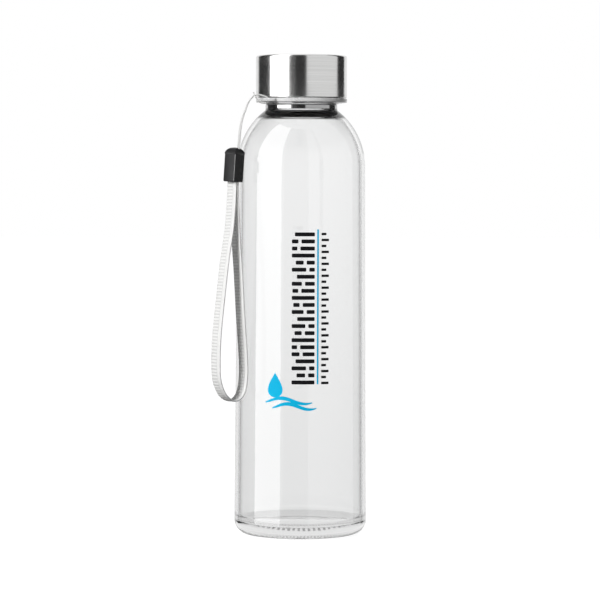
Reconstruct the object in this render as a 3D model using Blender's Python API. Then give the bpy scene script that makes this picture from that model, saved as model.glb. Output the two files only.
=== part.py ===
"""Glass water bottle with a steel screw cap, a neck ring and a hanging wrist strap.

Units are metres and +Z is up. The origin is the middle of the ring that the bottle stands on.
The strap hangs at the bottle's left, seen from the front, which faces -Y.
"""
import math

import bmesh
import bpy
from mathutils import Matrix, Vector

# ---- glass bottle ----
TURNED_SEGMENTS = 40
HEEL_WALL_RADIUS = 0.0313
SHOULDER_WALL_RADIUS = 0.0302
GLASS_THICKNESS = 0.0023
STANDING_RING_INNER = 0.0229
HEEL_RADIUS = 0.0066
PUSH_UP_HEIGHT = 0.0030
PUSH_UP_KNEE = 0.0140
PUSH_UP_KNEE_SHARE = 0.85
FLOOR_TOP = 0.0055
FLOOR_DOME = 0.0013
INNER_HEEL_RADIUS = 0.0045
SHOULDER_START = 0.1740
SHOULDER_RADIUS = 0.0330
ROOF_HEAD = (0.0148, 0.1980)
ROOF_FOOT = (0.0193, 0.1958)
ROOF_EDGE = 0.0008
NECK_RADIUS = 0.0170
NECK_FOOT_RADIUS = 0.0179
BEAD_HEIGHT = 0.0026
BEAD_FLARE = 0.0002
BEAD_EDGE = 0.0004
FINISH_RADIUS = 0.0164
MOUTH_RADIUS = 0.0139
BEAD_TOP = 0.2030
LIP_TOP = 0.2215
LIP_OUTER_EDGE = 0.0008
LIP_INNER_EDGE = 0.0006

# ---- screw thread ----
THREAD_LEAD = 0.0042
THREAD_TURNS = 1.25
THREAD_START = 0.2082
THREAD_STEPS_PER_TURN = 28
THREAD_FADE_STEPS = 3
THREAD_SINK = 0.0004
GLASS_THREAD_TIP = 0.0178
LINER_THREAD_TIP = 0.01705
THREAD_ROOT_HALF = 0.00090
THREAD_TIP_HALF = 0.00045

# ---- cap ----
GAP = 0.0003
CAP_RADIUS = 0.0215
CAP_BOTTOM = 0.2063
CAP_TOP = 0.2261
CAP_EDGE_RADIUS = 0.0010
HEM_EDGE = 0.0002
STEEL_THICKNESS = 0.0005
HEM_HEIGHT = 0.0008
HEM_INNER = 0.0206
LINER_INNER = 0.0183
LINER_TOP_THICKNESS = 0.0014
LINER_MOUTH_EDGE = 0.0004
LINER_TOP_EDGE = 0.0006
SEAL_THICKNESS = 0.0018
SEAL_INNER = 0.0140
SEAL_EDGE = 0.0004

# ---- neck ring and its eyelet ----
RING_INNER = 0.01675
RING_HUB_RADIUS = 0.0179
RING_HUB_BOTTOM = 0.2034
RING_FLANGE_BOTTOM = 0.2041
RING_TOP = 0.2059
RING_EDGE = 0.0003
EYELET_BAR = Vector((-0.01775, -0.0174, 0.2050))
EYELET_BAR_WIDTH = 0.0011
EYELET_SLOT_DEPTH = 0.0027
EYELET_SLOT_LENGTH = 0.0028
EYELET_LENGTH = 0.0046
EYELET_ROOT = 0.0056
EYELET_THINNER = 0.0002
EYELET_EDGE = 0.0004

# ---- strap ----
STRAP_TURN = math.radians(-44.0)
STRAP_WIDE = Vector((math.cos(STRAP_TURN), math.sin(STRAP_TURN), 0.0))
STRAP_FRONT = Vector((math.sin(STRAP_TURN), -math.cos(STRAP_TURN), 0.0))
CLASP_FOOT = Vector((-0.0317, -0.0212, 0.1666))
CLASP_TILT = math.radians(3.5)
CLASP_WIDTH = 0.0072
CLASP_DEPTH = 0.0064
CLASP_HEIGHT = 0.0160
CLASP_CROWN = 0.0032
CLASP_CORNER = 0.0006
POCKET_WIDTH = 0.0064
POCKET_DEPTH = 0.0041
POCKET_HEIGHT = 0.0115
CORD_HOLE = Vector((0.0012, 0.0009, 0.0))
CORD_HOLE_WIDTH = 0.0022
CORD_HOLE_DEPTH = 0.0014
CORD_HOLE_OVERLAP = 0.0010
CRIMP_WIDTH = 0.0050
CRIMP_DEPTH = 0.0035
CRIMP_WALL = 0.0004
CRIMP_FOOT = 0.0045
CRIMP_TOP = 0.0100
CRIMP_CROWN = 0.0008

CORD_DIAMETER = 0.0007
CORD_SPACING = 0.00045
WEBBING_WIDTH = 0.0058
WEBBING_THICKNESS = 0.0009
WEBBING_LAYER = 0.0006

# Middle of the cord's two strands, from the clasp up to the hitch, with the way the far strand lies.
CORD_PAIR = [
    ((-0.0289, -0.0210, 0.1860), (-0.70, 0.70)),
    ((-0.0285, -0.0206, 0.1905), (-0.62, 0.78)),
    ((-0.0278, -0.0199, 0.1950), (-0.45, 0.89)),
    ((-0.0263, -0.0190, 0.1995), (-0.25, 0.97)),
    ((-0.0246, -0.0181, 0.2037), (-0.10, 0.99)),
    ((-0.0223, -0.0174, 0.2066), (0.0, 1.0)),
]
# The hitch round the eyelet bar: how far out from the bar, aside and up, for the far strand.
CORD_HITCH = [
    (0.00225, 0.00046, 0.00215),
    (0.00095, 0.00050, 0.00200),
    (-0.00040, 0.00050, 0.00165),
    (-0.00160, 0.00050, 0.00110),
    (-0.00215, 0.00055, 0.00000),
    (-0.00160, 0.00060, -0.00120),
    (-0.00020, 0.00080, -0.00165),
    (0.00140, 0.00150, -0.00130),
    (0.00270, 0.00200, -0.00010),
    (0.00370, 0.00210, 0.00140),
    (0.00430, 0.00140, 0.00255),
    (0.00450, 0.00000, 0.00310),
]
# The hanging webbing: how far in front of the clasp, aside, and the height, round the loop.
WEBBING_LOOP = [
    (0.0009, 0.0001, 0.1600),
    (0.0029, 0.0007, 0.1458),
    (0.0062, 0.0012, 0.1319),
    (0.0092, 0.0014, 0.1140),
    (0.0116, 0.0014, 0.0965),
    (0.0123, 0.0014, 0.0830),
    (0.0116, 0.0014, 0.0745),
    (0.0082, 0.0014, 0.0680),
    (0.0030, 0.0014, 0.0648),
    (-0.0016, 0.0014, 0.0657),
    (-0.0046, 0.0014, 0.0697),
    (-0.0058, 0.0014, 0.0775),
    (-0.0052, 0.0014, 0.0890),
    (-0.0038, 0.0014, 0.1030),
    (-0.0023, 0.0013, 0.1240),
    (-0.0012, 0.0009, 0.1390),
    (-0.0007, 0.0003, 0.1560),
]


def clear_scene():
    for obj in list(bpy.data.objects):
        bpy.data.objects.remove(obj, do_unlink=True)


def material(name, color, roughness, metallic=0.0, alpha=1.0):
    made = bpy.data.materials.new(name)
    made.use_nodes = True
    shader = made.node_tree.nodes["Principled BSDF"]
    shader.inputs["Base Color"].default_value = (*color, 1.0)
    shader.inputs["Roughness"].default_value = roughness
    shader.inputs["Metallic"].default_value = metallic
    shader.inputs["Alpha"].default_value = alpha
    return made


def mesh_object(name, bm, finish=None, smooth_deg=None):
    mesh = bpy.data.meshes.new(name)
    bm.to_mesh(mesh)
    bm.free()
    if smooth_deg is not None:
        mesh.shade_smooth()
        mesh.set_sharp_from_angle(angle=math.radians(smooth_deg))
    obj = bpy.data.objects.new(name, mesh)
    bpy.context.scene.collection.objects.link(obj)
    if finish is not None:
        mesh.materials.append(finish)
    return obj


def as_cutter(obj):
    obj.hide_render = True
    obj.display_type = "WIRE"
    return obj


def combine(obj, other, operation):
    boolean = obj.modifiers.new(operation.title(), "BOOLEAN")
    boolean.operation = operation
    boolean.object = as_cutter(other)


def arc(centre_r, centre_z, radius, start_deg, end_deg, steps):
    """Points on an arc in the profile plane, both ends included."""
    points = []
    for step in range(steps + 1):
        angle = math.radians(start_deg + (end_deg - start_deg) * step / steps)
        points.append((centre_r + radius * math.cos(angle), centre_z + radius * math.sin(angle)))
    return points


def turned(name, profile, finish, closed=True):
    """Turn a profile of (radius, height) points round the Z axis into a closed solid."""
    bm = bmesh.new()
    verts = [bm.verts.new((radius, 0.0, height)) for radius, height in profile]
    pairs = list(zip(verts, verts[1:]))
    if closed:
        pairs.append((verts[-1], verts[0]))
    edges = [bm.edges.new(pair) for pair in pairs]
    bmesh.ops.spin(
        bm, geom=verts + edges, cent=(0, 0, 0), axis=(0, 0, 1),
        angle=math.tau, steps=TURNED_SEGMENTS, use_merge=True,
    )
    bmesh.ops.remove_doubles(bm, verts=bm.verts, dist=1e-6)
    bmesh.ops.recalc_face_normals(bm, faces=bm.faces)
    return mesh_object(name, bm, finish, smooth_deg=40)


def block(name, size, centre, finish=None):
    bm = bmesh.new()
    bmesh.ops.create_cube(bm, size=1.0)
    bmesh.ops.scale(bm, vec=size, verts=bm.verts)
    bmesh.ops.translate(bm, vec=centre, verts=bm.verts)
    return mesh_object(name, bm, finish)


def thread_ridge(name, wall, tip, start_height):
    """A right-hand helical ridge from wall to tip, whose ends run out into the wall."""
    inward = math.copysign(1.0, wall - tip)
    root = wall + inward * THREAD_SINK
    steps = round(THREAD_TURNS * THREAD_STEPS_PER_TURN)
    bm = bmesh.new()
    rings = []
    for step in range(steps + 1):
        angle = math.tau * step / THREAD_STEPS_PER_TURN
        height = start_height + THREAD_LEAD * step / THREAD_STEPS_PER_TURN
        fade = min(1.0, step / THREAD_FADE_STEPS, (steps - step) / THREAD_FADE_STEPS)
        buried = wall + inward * THREAD_SINK / 2
        crest = buried + (tip - buried) * fade
        outline = (
            (root, -THREAD_ROOT_HALF), (crest, -THREAD_TIP_HALF),
            (crest, THREAD_TIP_HALF), (root, THREAD_ROOT_HALF),
        )
        rings.append([
            bm.verts.new((radius * math.cos(angle), radius * math.sin(angle), height + rise))
            for radius, rise in outline
        ])
    for ring, following in zip(rings, rings[1:]):
        for corner in range(4):
            beside = (corner + 1) % 4
            bm.faces.new((ring[corner], following[corner], following[beside], ring[beside]))
    bm.faces.new(rings[0])
    bm.faces.new(rings[-1])
    bmesh.ops.recalc_face_normals(bm, faces=bm.faces)
    return mesh_object(name, bm)


def smooth_path(points, steps):
    """Points of a smooth curve that passes through the given ones, with steps to each span."""
    padded = [2 * points[0] - points[1], *points, 2 * points[-1] - points[-2]]
    path = []
    for before, start, end, after in zip(padded, padded[1:], padded[2:], padded[3:]):
        for step in range(steps):
            t = step / steps
            path.append(0.5 * (
                2 * start + (end - before) * t
                + (2 * before - 5 * start + 4 * end - after) * t ** 2
                + (3 * start - before - 3 * end + after) * t ** 3
            ))
    path.append(points[-1])
    return path


def clasp_frame():
    tilt = Matrix.Rotation(CLASP_TILT, 4, "Y")
    turn = Matrix.Rotation(STRAP_TURN, 4, "Z")
    return Matrix.Translation(CLASP_FOOT) @ tilt @ turn


def in_clasp(wide, deep, height):
    """A point given along the clasp's width, depth and height, in world coordinates."""
    return clasp_frame() @ Vector((wide, deep, height))


def make_glass_bottle(finish):
    shoulder_centre = SHOULDER_WALL_RADIUS - SHOULDER_RADIUS
    neck_deg = math.degrees(math.acos((NECK_FOOT_RADIUS - shoulder_centre) / SHOULDER_RADIUS))
    heel_centre = HEEL_WALL_RADIUS - HEEL_RADIUS
    inner_heel_centre = HEEL_WALL_RADIUS - GLASS_THICKNESS - INNER_HEEL_RADIUS
    roof_radius, roof_height = ROOF_FOOT
    inner_wall = SHOULDER_WALL_RADIUS - GLASS_THICKNESS
    rise = roof_height - SHOULDER_START
    inner_centre = (roof_radius ** 2 + rise ** 2 - inner_wall ** 2) / (2 * (roof_radius - inner_wall))
    inner_radius = inner_wall - inner_centre
    roof_deg = math.degrees(math.asin(rise / inner_radius))

    outside = [(0.0, PUSH_UP_HEIGHT), (PUSH_UP_KNEE, PUSH_UP_HEIGHT * PUSH_UP_KNEE_SHARE)]
    outside += [(STANDING_RING_INNER, 0.0)]
    outside += arc(heel_centre, HEEL_RADIUS, HEEL_RADIUS, -90, 0, 5)
    outside += arc(shoulder_centre, SHOULDER_START, SHOULDER_RADIUS, 0, neck_deg, 9)
    outside += [
        (NECK_RADIUS + BEAD_FLARE, BEAD_TOP - BEAD_HEIGHT),
        (NECK_RADIUS, BEAD_TOP - BEAD_HEIGHT + 2 * BEAD_EDGE),
        (NECK_RADIUS, BEAD_TOP - BEAD_EDGE), (FINISH_RADIUS, BEAD_TOP),
    ]
    lip = arc(FINISH_RADIUS - LIP_OUTER_EDGE, LIP_TOP - LIP_OUTER_EDGE, LIP_OUTER_EDGE, 0, 90, 2)
    lip += arc(MOUTH_RADIUS + LIP_INNER_EDGE, LIP_TOP - LIP_INNER_EDGE, LIP_INNER_EDGE, 90, 180, 2)
    inside = [(MOUTH_RADIUS, ROOF_HEAD[1] + ROOF_EDGE), ROOF_HEAD]
    inside += arc(inner_centre, SHOULDER_START, inner_radius, roof_deg, 0, 7)
    inside += arc(inner_heel_centre, FLOOR_TOP + INNER_HEEL_RADIUS, INNER_HEEL_RADIUS, 0, -90, 4)
    inside += [(0.0, FLOOR_TOP + FLOOR_DOME)]
    bottle = turned("glass_bottle", outside + lip + inside, finish, closed=False)
    ridge = thread_ridge("bottle_thread", FINISH_RADIUS, GLASS_THREAD_TIP, THREAD_START)
    combine(bottle, ridge, "UNION")
    return bottle


def make_cap_shell(finish):
    edge = CAP_EDGE_RADIUS
    inner = CAP_RADIUS - STEEL_THICKNESS
    profile = [
        (HEM_INNER, CAP_BOTTOM), (CAP_RADIUS - HEM_EDGE, CAP_BOTTOM), (CAP_RADIUS, CAP_BOTTOM + HEM_EDGE),
    ]
    profile += arc(CAP_RADIUS - edge, CAP_TOP - edge, edge, 0, 90, 3)
    profile += [(0.0, CAP_TOP), (0.0, CAP_TOP - STEEL_THICKNESS)]
    inner_edge = edge - STEEL_THICKNESS
    profile += arc(inner - inner_edge, CAP_TOP - STEEL_THICKNESS - inner_edge, inner_edge, 90, 0, 2)
    profile += [(inner, CAP_BOTTOM + HEM_HEIGHT), (HEM_INNER, CAP_BOTTOM + HEM_HEIGHT)]
    rim = profile.index((0.0, CAP_TOP)) + 1
    return turned("cap_shell", profile[rim:] + profile[:rim], finish, closed=False)


def make_cap_insert(finish):
    outer = CAP_RADIUS - STEEL_THICKNESS - GAP
    bottom = CAP_BOTTOM + HEM_HEIGHT + GAP
    top = CAP_TOP - STEEL_THICKNESS - GAP
    under_top = top - LINER_TOP_THICKNESS
    profile = [
        (0.0, under_top), (LINER_INNER, under_top), (LINER_INNER, bottom + LINER_MOUTH_EDGE),
        (LINER_INNER + LINER_MOUTH_EDGE, bottom), (outer, bottom), (outer, top - LINER_TOP_EDGE),
        (outer - LINER_TOP_EDGE, top), (0.0, top),
    ]
    insert = turned("cap_insert", profile, finish, closed=False)
    ridge = thread_ridge(
        "insert_thread", LINER_INNER, LINER_THREAD_TIP, THREAD_START + THREAD_LEAD / 2)
    combine(insert, ridge, "UNION")
    return insert


def make_cap_seal(finish):
    bottom = LIP_TOP + GAP
    outer = LINER_INNER - GAP
    top = bottom + SEAL_THICKNESS
    profile = [
        (SEAL_INNER, bottom + SEAL_EDGE), (SEAL_INNER + SEAL_EDGE, bottom),
        (outer - SEAL_EDGE, bottom), (outer, bottom + SEAL_EDGE),
        (outer, top - SEAL_EDGE), (outer - SEAL_EDGE, top),
        (SEAL_INNER + SEAL_EDGE, top), (SEAL_INNER, top - SEAL_EDGE),
    ]
    return turned("cap_seal", profile, finish)


def make_strap_ring(finish):
    profile = [
        (RING_INNER, RING_HUB_BOTTOM), (RING_HUB_RADIUS, RING_HUB_BOTTOM),
        (RING_HUB_RADIUS, RING_FLANGE_BOTTOM), (CAP_RADIUS - RING_EDGE, RING_FLANGE_BOTTOM),
        (CAP_RADIUS, RING_FLANGE_BOTTOM + RING_EDGE), (CAP_RADIUS, RING_TOP - RING_EDGE),
        (CAP_RADIUS - RING_EDGE, RING_TOP), (RING_INNER, RING_TOP),
    ]
    ring = turned("strap_ring", profile, finish)
    bar_edge = EYELET_BAR.x - EYELET_BAR_WIDTH / 2
    thick = RING_TOP - RING_FLANGE_BOTTOM
    middle = (RING_TOP + RING_FLANGE_BOTTOM) / 2
    tab_depth = EYELET_ROOT + EYELET_BAR_WIDTH / 2
    tab = block("eyelet_tab", (tab_depth, EYELET_LENGTH, thick - EYELET_THINNER),
                (bar_edge + tab_depth / 2, EYELET_BAR.y, middle))
    corners = tab.modifiers.new("Corners", "BEVEL")
    corners.width = EYELET_EDGE
    corners.segments = 2
    combine(ring, tab, "UNION")
    slot_start = EYELET_BAR.x + EYELET_BAR_WIDTH / 2
    slot = block("eyelet_slot", (EYELET_SLOT_DEPTH, EYELET_SLOT_LENGTH, 3 * thick),
                 (slot_start + EYELET_SLOT_DEPTH / 2, EYELET_BAR.y, middle))
    combine(ring, slot, "DIFFERENCE")
    return ring


def make_clasp_sleeve(finish):
    bm = bmesh.new()
    bmesh.ops.create_cube(bm, size=1.0)
    bmesh.ops.scale(bm, vec=(CLASP_WIDTH, CLASP_DEPTH, CLASP_HEIGHT), verts=bm.verts)
    bmesh.ops.translate(bm, vec=(0, 0, CLASP_HEIGHT / 2), verts=bm.verts)
    crown = [e for e in bm.edges if all(v.co.z > CLASP_HEIGHT / 2 for v in e.verts)]
    bmesh.ops.bevel(bm, geom=crown, offset=CLASP_CROWN, affect="EDGES", segments=4,
                    profile=0.5, material=-1)
    foot = [e for e in bm.edges if all(v.co.z < 1e-6 for v in e.verts)]
    sides = [e for e in bm.edges if abs(e.verts[0].co.z - e.verts[1].co.z) > CLASP_HEIGHT / 2]
    bmesh.ops.bevel(bm, geom=foot + sides, offset=CLASP_CORNER, affect="EDGES", segments=2,
                    profile=0.5, material=-1)
    bmesh.ops.recalc_face_normals(bm, faces=bm.faces)
    sleeve = mesh_object("clasp_sleeve", bm, finish, smooth_deg=30)
    sleeve.matrix_world = clasp_frame()
    pocket = block("clasp_pocket", (POCKET_WIDTH, POCKET_DEPTH, 2 * POCKET_HEIGHT), (0, 0, 0))
    pocket.matrix_world = clasp_frame()
    combine(sleeve, pocket, "DIFFERENCE")
    hole = block("clasp_cord_hole", (CORD_HOLE_WIDTH, CORD_HOLE_DEPTH, CLASP_HEIGHT),
                 CORD_HOLE + Vector((0, 0, POCKET_HEIGHT - CORD_HOLE_OVERLAP + CLASP_HEIGHT / 2)))
    hole.matrix_world = clasp_frame()
    combine(sleeve, hole, "DIFFERENCE")
    return sleeve


def make_clasp_crimp(finish):
    """A folded metal clip over the ends of the webbing, open at its foot."""
    outer = CRIMP_DEPTH / 2
    inner = outer - CRIMP_WALL
    crown = CRIMP_TOP - CRIMP_CROWN
    outline = [
        (-outer, CRIMP_FOOT), (-inner, CRIMP_FOOT), (-inner, crown), (inner, crown),
        (inner, CRIMP_FOOT), (outer, CRIMP_FOOT), (outer, CRIMP_TOP), (-outer, CRIMP_TOP),
    ]
    bm = bmesh.new()
    face = bm.faces.new([bm.verts.new((-CRIMP_WIDTH / 2, deep, height)) for deep, height in outline])
    extruded = bmesh.ops.extrude_face_region(bm, geom=[face])
    moved = [item for item in extruded["geom"] if isinstance(item, bmesh.types.BMVert)]
    bmesh.ops.translate(bm, vec=(CRIMP_WIDTH, 0, 0), verts=moved)
    bmesh.ops.recalc_face_normals(bm, faces=bm.faces)
    crimp = mesh_object("clasp_crimp", bm, finish)
    crimp.matrix_world = clasp_frame()
    return crimp


def cord_route():
    """The cord's route: up from the clasp, round the eyelet bar in a hitch, and back down."""
    halves = []
    for side in (1, -1):
        half = [
            in_clasp(CORD_HOLE.x - side * CORD_SPACING, CORD_HOLE.y, CRIMP_TOP + GAP),
            in_clasp(CORD_HOLE.x - side * CORD_SPACING, CORD_HOLE.y, CLASP_HEIGHT),
        ]
        for middle, lie in CORD_PAIR:
            half.append(Vector(middle) + side * CORD_SPACING * Vector((*lie, 0.0)))
        for out, aside, up in CORD_HITCH:
            half.append(EYELET_BAR + Vector((-out, side * aside, up)))
        halves.append(half)
    far, near = halves
    return far + near[-2::-1]


def make_strap_cord(finish):
    curve = bpy.data.curves.new("strap_cord", "CURVE")
    curve.dimensions = "3D"
    curve.bevel_depth = CORD_DIAMETER / 2
    curve.bevel_resolution = 2
    curve.use_fill_caps = True
    path = smooth_path(cord_route(), 2)
    spline = curve.splines.new("POLY")
    spline.points.add(len(path) - 1)
    for point, place in zip(spline.points, path):
        point.co = (*place, 1.0)
    curve.materials.append(finish)
    cord = bpy.data.objects.new("strap_cord", curve)
    bpy.context.scene.collection.objects.link(cord)
    return cord


def webbing_route():
    end_height = CRIMP_TOP - CRIMP_CROWN - GAP
    route = [in_clasp(0, -WEBBING_LAYER, end_height), in_clasp(0, -WEBBING_LAYER, 0.001)]
    for front, aside, height in WEBBING_LOOP:
        place = CLASP_FOOT + front * STRAP_FRONT + aside * STRAP_WIDE
        route.append(Vector((place.x, place.y, height)))
    route += [in_clasp(0, WEBBING_LAYER, 0.001), in_clasp(0, WEBBING_LAYER, end_height)]
    return route


def make_strap_webbing(finish):
    half = STRAP_WIDE * WEBBING_WIDTH / 2
    bm = bmesh.new()
    line = [bm.verts.new(place - half) for place in smooth_path(webbing_route(), 3)]
    edges = [bm.edges.new(pair) for pair in zip(line, line[1:])]
    extruded = bmesh.ops.extrude_edge_only(bm, edges=edges)
    moved = [item for item in extruded["geom"] if isinstance(item, bmesh.types.BMVert)]
    bmesh.ops.translate(bm, vec=2 * half, verts=moved)
    webbing = mesh_object("strap_webbing", bm, finish, smooth_deg=40)
    thickness = webbing.modifiers.new("Thickness", "SOLIDIFY")
    thickness.thickness = WEBBING_THICKNESS
    thickness.offset = 0.0
    return webbing


def empty(name, place):
    made = bpy.data.objects.new(name, None)
    made.location = place
    bpy.context.scene.collection.objects.link(made)
    return made


def hang_from(parent, *children):
    """Parent pieces to a pivot without moving them."""
    bpy.context.view_layer.update()
    for child in children:
        child.parent = parent
        child.matrix_parent_inverse = parent.matrix_world.inverted()


def main():
    clear_scene()
    glass = material("clear_glass", (0.93, 0.95, 0.95), 0.02, alpha=0.35)
    steel = material("brushed_steel", (0.66, 0.66, 0.66), 0.28, metallic=1.0)
    liner = material("white_liner", (0.86, 0.86, 0.84), 0.45)
    silicone = material("clear_silicone", (0.80, 0.80, 0.78), 0.55)
    clear_ring = material("clear_plastic", (0.88, 0.88, 0.88), 0.18, alpha=0.6)
    cord_nylon = material("cord_nylon", (0.82, 0.82, 0.81), 0.40)
    black = material("black_plastic", (0.030, 0.030, 0.031), 0.42)
    tin = material("tinned_steel", (0.60, 0.60, 0.58), 0.35, metallic=1.0)
    weave = material("white_webbing", (0.86, 0.86, 0.85), 0.80)

    make_glass_bottle(glass)
    cap = [make_cap_shell(steel), make_cap_insert(liner), make_cap_seal(silicone)]
    ring = make_strap_ring(clear_ring)
    strap = [make_strap_cord(cord_nylon), make_clasp_sleeve(black),
             make_clasp_crimp(tin), make_strap_webbing(weave)]
    cap_axis = empty("cap_axis", (0.0, 0.0, CAP_BOTTOM))
    ring_axis = empty("ring_axis", (0.0, 0.0, RING_FLANGE_BOTTOM))
    swing_axis = empty("swing_axis", EYELET_BAR)
    hang_from(cap_axis, *cap)
    hang_from(ring_axis, ring, swing_axis)
    hang_from(swing_axis, *strap)


main()
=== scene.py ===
"""The looks of a glass water bottle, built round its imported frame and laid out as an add-on."""

import math

import bmesh
import bpy
from bpy.props import FloatProperty, FloatVectorProperty, IntProperty, PointerProperty
from mathutils import Matrix, Quaternion, Vector


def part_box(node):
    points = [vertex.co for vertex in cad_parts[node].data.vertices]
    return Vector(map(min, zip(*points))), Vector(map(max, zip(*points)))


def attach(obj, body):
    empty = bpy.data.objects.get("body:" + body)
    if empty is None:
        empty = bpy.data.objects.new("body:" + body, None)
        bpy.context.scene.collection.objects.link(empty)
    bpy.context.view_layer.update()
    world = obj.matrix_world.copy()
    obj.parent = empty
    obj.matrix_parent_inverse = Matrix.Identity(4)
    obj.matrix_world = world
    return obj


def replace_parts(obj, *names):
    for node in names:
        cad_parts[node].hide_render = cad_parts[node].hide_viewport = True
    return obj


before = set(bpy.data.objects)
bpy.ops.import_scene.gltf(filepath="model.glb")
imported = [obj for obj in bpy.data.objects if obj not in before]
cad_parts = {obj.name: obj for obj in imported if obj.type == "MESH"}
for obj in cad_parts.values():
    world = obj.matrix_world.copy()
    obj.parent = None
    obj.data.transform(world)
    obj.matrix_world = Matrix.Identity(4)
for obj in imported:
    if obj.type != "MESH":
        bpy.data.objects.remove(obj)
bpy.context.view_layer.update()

bl_info = {
    "name": "Glass water bottle",
    "version": (1, 0, 0),
    "blender": (4, 5, 0),
    "location": "3D View > Sidebar > Bottle",
    "description": "Makes a glass water bottle with a steel cap and a wrist strap",
    "category": "Add Mesh",
}

# ---- places and sizes that the frame gives ----
GLASS_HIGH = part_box("glass_bottle")[1]
CAP_LOW, CAP_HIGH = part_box("cap_shell")
LINER_LOW, LINER_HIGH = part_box("cap_insert")
SEAL_LOW, SEAL_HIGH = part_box("cap_seal")
RING_LOW, RING_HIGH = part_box("strap_ring")
HEEL_WALL = GLASS_HIGH.x
CAP_RADIUS = CAP_HIGH.x
LIP_TOP = GLASS_HIGH.z

# ---- glass ----
SHOULDER_WALL = 0.0302
SHOULDER_START = 0.1740
SHOULDER_RADIUS = 0.0330
HEEL_RADIUS = 0.0066
STANDING_RING = 0.0229
PUSH_UP = 0.0030
STIPPLE_HEIGHTS = (0.0010, 0.0022)
STIPPLE_DEPTH = 0.00015
FLOOR_TOP = 0.0055
FLOOR_DOME = 0.0013
INNER_HEEL = 0.0045
NECK = 0.0170
NECK_FLARE = 0.0009
NECK_FILLET = 0.0010
BEAD_EDGE = 0.0004
BEAD_FOOT = 0.0022
PUSH_UP_ARC = 0.080
ROOF_HEAD = (0.0148, 0.1980)
ROOF_FOOT = (0.0193, 0.1958)
FINISH = 0.0164
MOUTH = 0.0139
LIP_OUTER_EDGE = 0.0008
LIP_INNER_EDGE = 0.0006
BEAD_TOP = 0.2030

# ---- thread ----
LEAD = 0.0042
THREAD_TURNS = 1.25
THREAD_START = 0.2082
THREAD_ROOT_HALF = 0.00090
THREAD_TIP_HALF = 0.00045
THREAD_FADE = 0.10
THREAD_ROW = 0.00035
GLASS_TIP = 0.0178
LINER_TIP = 0.01705
LINER_WALL = 0.0183

# ---- neck ring ----
RING_HUB = 0.0179
RING_BORE = 0.01675
FLANGE_BOTTOM = 0.2041
EYELET_BAR = Vector((-0.01775, -0.0174, 0.2050))

# ---- strap ----
STRAP_TURN = math.radians(-44.0)
STRAP_WIDE = Vector((math.cos(STRAP_TURN), math.sin(STRAP_TURN), 0.0))
STRAP_FRONT = Vector((math.sin(STRAP_TURN), -math.cos(STRAP_TURN), 0.0))
CLASP_FOOT = Vector((-0.0317, -0.0212, 0.1666))
CLASP_TILT = math.radians(3.5)
CLASP_SIZE = Vector((0.0072, 0.0064, 0.0160))
CRIMP_TOP = 0.0100
CRIMP_CROWN = 0.0008
FRONT_CORNER = -0.96  # a face whose normal's Y is lower than this belongs to the bead's front corner, which gets a painted highlight
GAP = 0.0003
CORD_HOLE = Vector((0.0012, 0.0009, 0.0))
CORD_DIAMETER = 0.0007
CORD_SPACING = 0.00045
WEBBING_WIDTH = 0.0058
WEBBING_THICKNESS = 0.0009
WEBBING_LAYER = 0.0006

CORD_PAIR = [
    ((-0.0289, -0.0210, 0.1860), (-0.70, 0.70)),
    ((-0.0285, -0.0206, 0.1905), (-0.62, 0.78)),
    ((-0.0278, -0.0199, 0.1950), (-0.45, 0.89)),
    ((-0.0263, -0.0190, 0.1995), (-0.25, 0.97)),
    ((-0.0246, -0.0181, 0.2037), (-0.10, 0.99)),
    ((-0.0223, -0.0174, 0.2066), (0.0, 1.0)),
]
CORD_HITCH = [
    (0.00225, 0.00046, 0.00215),
    (0.00095, 0.00050, 0.00200),
    (-0.00040, 0.00050, 0.00165),
    (-0.00160, 0.00050, 0.00110),
    (-0.00215, 0.00055, 0.00000),
    (-0.00160, 0.00060, -0.00120),
    (-0.00020, 0.00080, -0.00165),
    (0.00140, 0.00150, -0.00130),
    (0.00270, 0.00200, -0.00010),
    (0.00370, 0.00210, 0.00140),
    (0.00430, 0.00140, 0.00255),
    (0.00450, 0.00000, 0.00310),
]
WEBBING_LOOP = [
    (0.0009, 0.0001, 0.1600),
    (0.0029, 0.0007, 0.1458),
    (0.0062, 0.0012, 0.1319),
    (0.0092, 0.0014, 0.1140),
    (0.0116, 0.0014, 0.0965),
    (0.0123, 0.0014, 0.0830),
    (0.0116, 0.0014, 0.0745),
    (0.0082, 0.0014, 0.0680),
    (0.0030, 0.0014, 0.0648),
    (-0.0016, 0.0014, 0.0657),
    (-0.0046, 0.0014, 0.0697),
    (-0.0058, 0.0014, 0.0775),
    (-0.0052, 0.0014, 0.0890),
    (-0.0038, 0.0014, 0.1030),
    (-0.0023, 0.0013, 0.1240),
    (-0.0012, 0.0009, 0.1390),
    (-0.0007, 0.0003, 0.1560),
]


# ---- settings ----

def length_setting(name, default, description, precision=4):
    return FloatProperty(name=name, default=default, unit="LENGTH", precision=precision,
                         description=description)


def colour_setting(name, default, description):
    return FloatVectorProperty(name=name, default=default, subtype="COLOR", min=0, max=1,
                               description=description)


class BottleSizes(bpy.types.PropertyGroup):
    around: IntProperty(
        name="Steps round", default=224, min=24, max=360,
        description="Faces round each turned piece")
    wall: length_setting("Glass wall", 0.0023, "Thickness of the glass")
    rib_pitch: length_setting(
        "Rib pitch", 0.0015, "Distance between the ribs woven across the webbing")
    rib_height: length_setting(
        "Rib height", 0.00012, "How far a woven rib stands above the groove beside it", 5)
    ink: length_setting("Ink thickness", 0.00006, "Thickness of the printed design", 5)


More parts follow.
